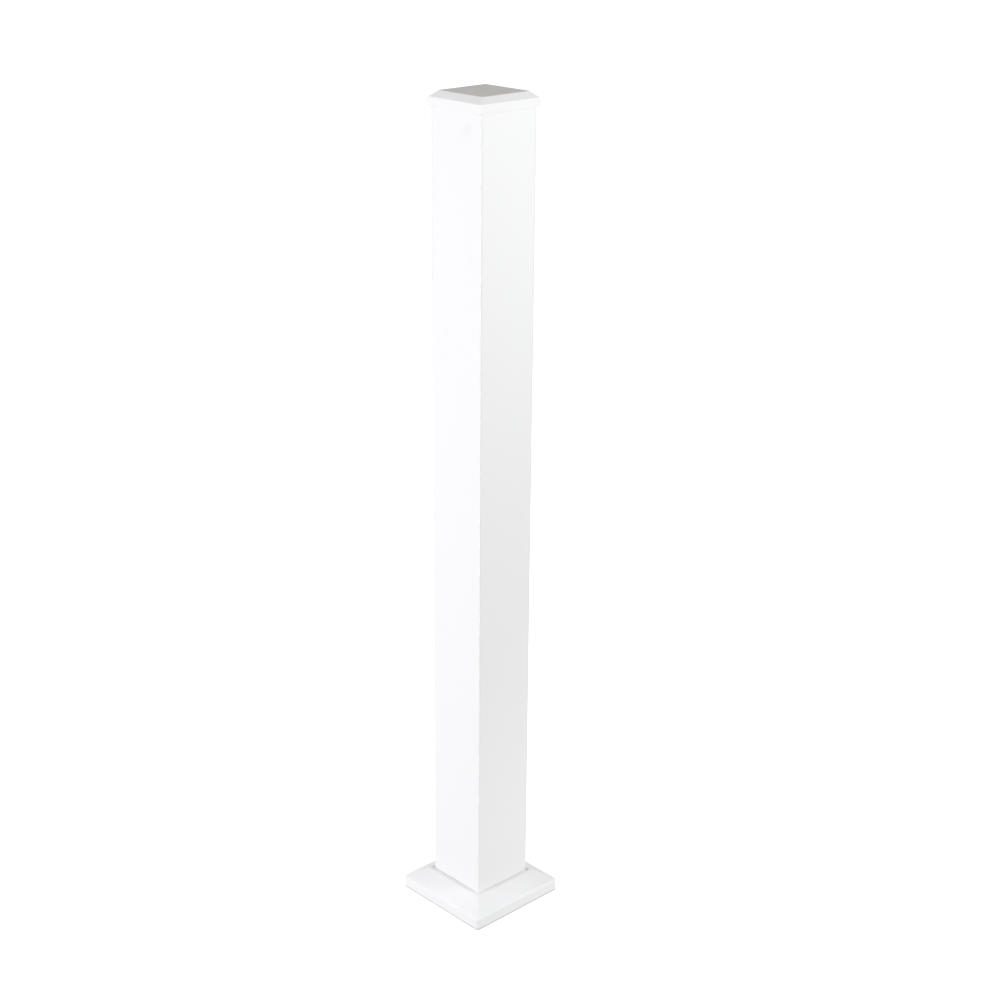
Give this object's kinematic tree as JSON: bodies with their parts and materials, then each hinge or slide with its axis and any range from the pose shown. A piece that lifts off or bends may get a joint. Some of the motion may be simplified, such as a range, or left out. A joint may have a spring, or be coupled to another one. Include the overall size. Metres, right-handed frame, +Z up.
{
  "type": "railing post",
  "caption": "Square white railing post: a hollow sleeve under a bevelled flat-topped cap, with a low sloped skirt round its foot.",
  "frame": {"origin": "on the floor, at the middle of the post's foot", "axes": "+Z up along the post; X and Y square to its faces, which are all alike"},
  "size_m": [0.171, 0.171, 1.2446],
  "materials": {
    "sleeve": "satin white extruded vinyl",
    "cap": "satin white moulded vinyl",
    "skirt": "satin white moulded vinyl"
  },
  "bodies": {
    "root": {"post": "sleeve", "post_cap": "cap", "base_skirt": "skirt"}
  },
  "joints": []
}
